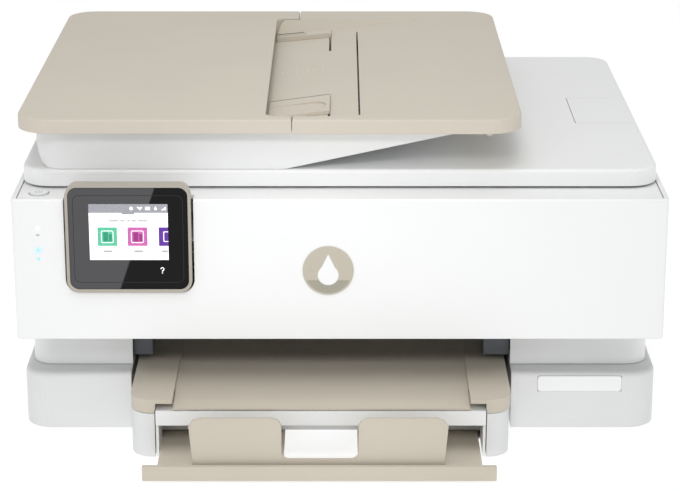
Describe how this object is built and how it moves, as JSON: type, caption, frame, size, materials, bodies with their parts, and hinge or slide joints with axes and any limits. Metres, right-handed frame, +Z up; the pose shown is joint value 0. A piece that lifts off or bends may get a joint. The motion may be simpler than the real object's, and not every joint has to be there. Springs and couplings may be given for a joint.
{
  "type": "inkjet printer",
  "caption": "All-in-one inkjet printer with a lifting scanner hood, tilting display, document feeder on the lid, sliding paper tray and a pull-out output extender.",
  "frame": {"origin": "on the table plane under the middle of the overall box, with the output extender as it stands at rest", "axes": "+Z up, +X to the right as seen from the front, front panel facing -Y"},
  "size_m": [0.46, 0.46, 0.234],
  "materials": {
    "white_plastic": "fine moulded texture",
    "smooth_white": "satin",
    "grey_plastic": "fine texture",
    "beige_plastic": "fine texture",
    "dark_plastic": "moulded",
    "black_gloss": "polished",
    "steel": "plated",
    "rubber": "moulded",
    "board": "solder mask",
    "glass": "polished",
    "foam": "white foam sheet",
    "light_pipe": "translucent"
  },
  "bodies": {
    "base": {"base_housing": "smooth_white", "body_shell": "smooth_white", "label_plate": "smooth_white", "rubber_feet": "rubber", "chassis_frame": "dark_plastic", "carriage_rails": "steel", "platen": "dark_plastic", "exit_bracket": "dark_plastic", "service_station": "dark_plastic", "feed_motor": "steel", "carriage_motor": "steel", "power_supply": "dark_plastic", "main_board": "board", "power_inlet": "dark_plastic", "transfer_belt": "rubber", "carriage_belt": "rubber"},
    "carriage": {"carriage": "dark_plastic", "black_cartridge": "black_gloss", "colour_cartridge": "dark_plastic"},
    "black_latch": {"black_latch": "grey_plastic"},
    "colour_latch": {"colour_latch": "grey_plastic"},
    "motor_pulley": {"motor_pulley": "grey_plastic"},
    "idler_pulley": {"idler_pulley": "grey_plastic"},
    "feed_pinion": {"feed_pinion": "beige_plastic"},
    "feed_roller": {"feed_gear": "white_plastic", "feed_roller": "rubber"},
    "output_roller": {"output_roller": "rubber"},
    "pinch_rollers": {"pinch_rollers": "grey_plastic"},
    "star_wheels": {"star_wheels": "steel"},
    "pick_arm": {"pick_arm": "dark_plastic"},
    "pick_roller": {"pick_roller": "rubber"},
    "tray": {"paper_tray": "white_plastic", "tray_front": "smooth_white", "output_bed": "beige_plastic"},
    "width_guide_left": {"width_guide_left": "beige_plastic"},
    "width_guide_right": {"width_guide_right": "beige_plastic"},
    "length_guide": {"length_guide": "beige_plastic"},
    "extender": {"output_extender": "beige_plastic"},
    "stop": {"output_stop": "beige_plastic"},
    "hood": {"front_panel": "smooth_white", "scanner_housing": "grey_plastic", "badge": "beige_plastic", "status_lights": "light_pipe", "scanner_glass": "glass", "scan_rod": "steel"},
    "display": {"display_bezel": "beige_plastic", "display_glass": "black_gloss"},
    "power_button": {"power_button": "white_plastic"},
    "scan_bar": {"scan_bar": "dark_plastic"},
    "lid": {"lid": "smooth_white", "platen_pad": "foam", "lid_hinge_pins": "steel", "adf_housing": "white_plastic", "adf_input_tray": "beige_plastic"},
    "lid_flap": {"lid_flap": "smooth_white"},
    "adf_cover": {"adf_cover": "beige_plastic"},
    "adf_guides_front": {"adf_guides_front": "beige_plastic"},
    "adf_guides_rear": {"adf_guides_rear": "beige_plastic"},
    "adf_feed_roller": {"adf_feed_roller": "rubber"},
    "adf_pick_roller": {"adf_pick_roller": "rubber"}
  },
  "joints": [
    {"name": "hood_hinge", "type": "hinge", "parent": "base", "child": "hood", "pos_m": [0, 0.217, 0.084], "axis": [-1, 0, 0], "range_deg": [0, 35]},
    {"name": "display_tilt", "type": "hinge", "parent": "hood", "child": "display", "pos_m": [-0.1478, -0.145, 0.176], "axis": [-1, 0, 0], "range_deg": [0, 30]},
    {"name": "power_press", "type": "slide", "parent": "hood", "child": "power_button", "axis": [0, 0, -1], "range_m": [0, 0.001], "stiffness_N_per_m": 300},
    {"name": "scan_travel", "type": "slide", "parent": "hood", "child": "scan_bar", "axis": [1, 0, 0], "range_m": [0, 0.285]},
    {"name": "lid_hinge", "type": "hinge", "parent": "hood", "child": "lid", "pos_m": [0, 0.2235, 0.185], "axis": [-1, 0, 0], "range_deg": [0, 75]},
    {"name": "flap_hinge", "type": "hinge", "parent": "lid", "child": "lid_flap", "pos_m": [0.2242, 0.0435, 0.192], "axis": [0, 1, 0], "range_deg": [0, 165]},
    {"name": "adf_cover_hinge", "type": "hinge", "parent": "lid", "child": "adf_cover", "pos_m": [-0.221, 0.045, 0.228], "axis": [0, -1, 0], "range_deg": [0, 70]},
    {"name": "adf_guide_front_slide", "type": "slide", "parent": "lid", "child": "adf_guides_front", "axis": [0, 1, 0], "range_m": [-0.0115, 0.04]},
    {"name": "adf_guide_rear_slide", "type": "slide", "parent": "lid", "child": "adf_guides_rear", "axis": [0, 1, 0], "range_m": [-0.04, 0.0115]},
    {"name": "adf_feed_spin", "type": "hinge", "parent": "lid", "child": "adf_feed_roller", "pos_m": [-0.1, 0.048, 0.213], "axis": [0, 1, 0], "continuous": true},
    {"name": "adf_pick_spin", "type": "hinge", "parent": "lid", "child": "adf_pick_roller", "pos_m": [-0.066, 0.048, 0.215], "axis": [0, 1, 0], "continuous": true},
    {"name": "tray_slide", "type": "slide", "parent": "base", "child": "tray", "axis": [0, -1, 0], "range_m": [0, 0.15]},
    {"name": "width_left_slide", "type": "slide", "parent": "tray", "child": "width_guide_left", "axis": [1, 0, 0], "range_m": [0, 0.057]},
    {"name": "width_right_slide", "type": "slide", "parent": "tray", "child": "width_guide_right", "axis": [1, 0, 0], "range_m": [-0.057, 0]},
    {"name": "length_slide", "type": "slide", "parent": "tray", "child": "length_guide", "axis": [0, 1, 0], "range_m": [0, 0.12]},
    {"name": "extender_slide", "type": "slide", "parent": "tray", "child": "extender", "axis": [0, -1, 0], "range_m": [-0.03, 0.06]},
    {"name": "stop_hinge", "type": "hinge", "parent": "extender", "child": "stop", "pos_m": [0, -0.2228, 0.0094], "axis": [-1, 0, 0], "range_deg": [0, 90]},
    {"name": "carriage_travel", "type": "slide", "parent": "base", "child": "carriage", "axis": [-1, 0, 0], "range_m": [0, 0.33]},
    {"name": "black_latch_hinge", "type": "hinge", "parent": "carriage", "child": "black_latch", "pos_m": [0.1895, 0.0045, 0.088], "axis": [1, 0, 0], "range_deg": [0, 60]},
    {"name": "colour_latch_hinge", "type": "hinge", "parent": "carriage", "child": "colour_latch", "pos_m": [0.1545, 0.0045, 0.088], "axis": [1, 0, 0], "range_deg": [0, 60]},
    {"name": "motor_pulley_spin", "type": "hinge", "parent": "base", "child": "motor_pulley", "pos_m": [-0.198, 0.131, 0.111], "axis": [0, 0, 1], "range_deg": [-2990, 10]},
    {"name": "idler_pulley_spin", "type": "hinge", "parent": "base", "child": "idler_pulley", "pos_m": [0.198, 0.131, 0.111], "axis": [0, 0, 1], "range_deg": [-2990, 10]},
    {"name": "feed_spin", "type": "hinge", "parent": "base", "child": "feed_roller", "pos_m": [0, 0.11, 0.062], "axis": [1, 0, 0], "continuous": true},
    {"name": "feed_pinion_spin", "type": "hinge", "parent": "base", "child": "feed_pinion", "pos_m": [-0.17, 0.127, 0.062], "axis": [1, 0, 0], "continuous": true},
    {"name": "output_spin", "type": "hinge", "parent": "base", "child": "output_roller", "pos_m": [0, -0.002, 0.06], "axis": [1, 0, 0], "continuous": true},
    {"name": "pinch_spin", "type": "hinge", "parent": "base", "child": "pinch_rollers", "pos_m": [0, 0.11, 0.0738], "axis": [1, 0, 0], "continuous": true},
    {"name": "star_spin", "type": "hinge", "parent": "base", "child": "star_wheels", "pos_m": [0, -0.002, 0.0713], "axis": [1, 0, 0], "continuous": true},
    {"name": "pick_arm_hinge", "type": "hinge", "parent": "base", "child": "pick_arm", "pos_m": [-0.01, 0.063, 0.054], "axis": [1, 0, 0], "range_deg": [0, 14]},
    {"name": "pick_spin", "type": "hinge", "parent": "pick_arm", "child": "pick_roller", "pos_m": [-0.01, 0.118, 0.0214], "axis": [1, 0, 0], "continuous": true}
  ],
  "couplings": [
    {"joint": "adf_guide_rear_slide", "follows": "adf_guide_front_slide", "ratio": -1},
    {"joint": "adf_pick_spin", "follows": "adf_feed_spin", "ratio": 1.2857},
    {"joint": "width_right_slide", "follows": "width_left_slide", "ratio": -1},
    {"joint": "motor_pulley_spin", "follows": "carriage_travel", "rad_per_m": -157.48},
    {"joint": "idler_pulley_spin", "follows": "carriage_travel", "rad_per_m": -157.48},
    {"joint": "feed_pinion_spin", "follows": "feed_spin", "ratio": -2.4},
    {"joint": "output_spin", "follows": "feed_spin", "ratio": 1.3333},
    {"joint": "pinch_spin", "follows": "feed_spin", "ratio": -2.3529},
    {"joint": "star_spin", "follows": "feed_spin", "ratio": -1.6327}
  ]
}
